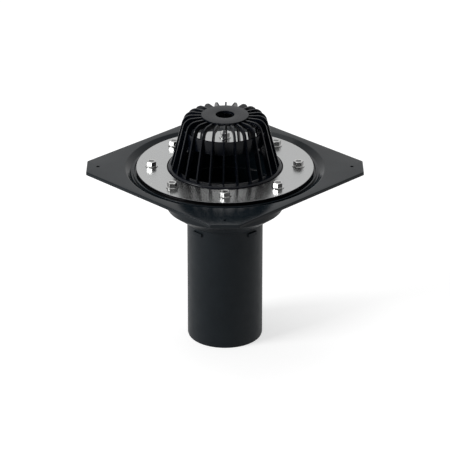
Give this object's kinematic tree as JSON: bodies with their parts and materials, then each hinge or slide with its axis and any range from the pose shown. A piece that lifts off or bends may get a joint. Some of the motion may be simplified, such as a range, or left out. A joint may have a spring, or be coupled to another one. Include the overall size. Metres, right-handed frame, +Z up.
{
  "type": "flat roof drain",
  "caption": "Roof drain with a square plate, a clamped steel sealing ring, a domed leaf strainer of radial fins and a vertical pipe spigot.",
  "frame": {"origin": "on the drain's axis at the lower end of the spigot", "axes": "+Z up along the drain's axis, +X and +Y square to the straight sides of the plate"},
  "size_m": [0.3108, 0.3108, 0.348],
  "materials": {
    "body_plastic": "matt moulded, dark grey",
    "strainer_plastic": "matt moulded, dark grey",
    "ring_steel": "satin stainless sheet",
    "bolt_steel": "bright stainless",
    "gasket_rubber": "matt black rubber",
    "insert_brass": "turned"
  },
  "bodies": {
    "root": {"drain_body": "body_plastic", "leaf_strainer": "strainer_plastic", "clamp_ring": "ring_steel", "clamp_bolts": "bolt_steel", "sealing_gasket": "gasket_rubber", "threaded_inserts": "insert_brass"}
  },
  "joints": []
}
